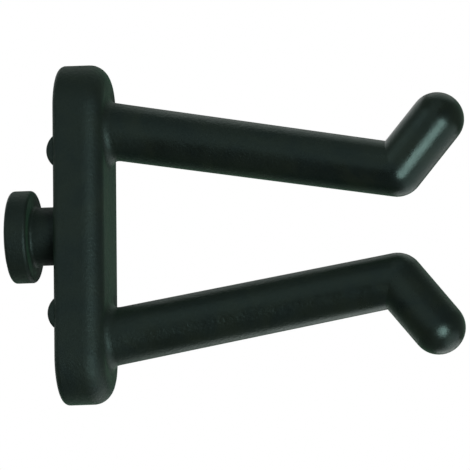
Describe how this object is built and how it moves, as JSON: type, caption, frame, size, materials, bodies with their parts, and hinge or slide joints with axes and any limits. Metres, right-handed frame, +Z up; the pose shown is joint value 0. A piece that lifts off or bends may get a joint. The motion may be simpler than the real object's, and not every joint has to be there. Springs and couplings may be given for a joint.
{
  "type": "pegboard hook",
  "caption": "Moulded plastic hook: round prongs lean together from a round-ended plate and turn outward at the tips; a headed stud on the back enters a panel's keyhole.",
  "frame": {"origin": "centre of the plate's back face, where the stud's neck leaves it", "axes": "+X out from the panel along the prongs, +Y across the plate, +Z up along the plate, as the hook hangs"},
  "size_m": [0.0516, 0.0102, 0.038],
  "materials": {
    "black_plastic": "satin black, as moulded"
  },
  "bodies": {
    "root": {"double_hook": "black_plastic"}
  },
  "joints": []
}
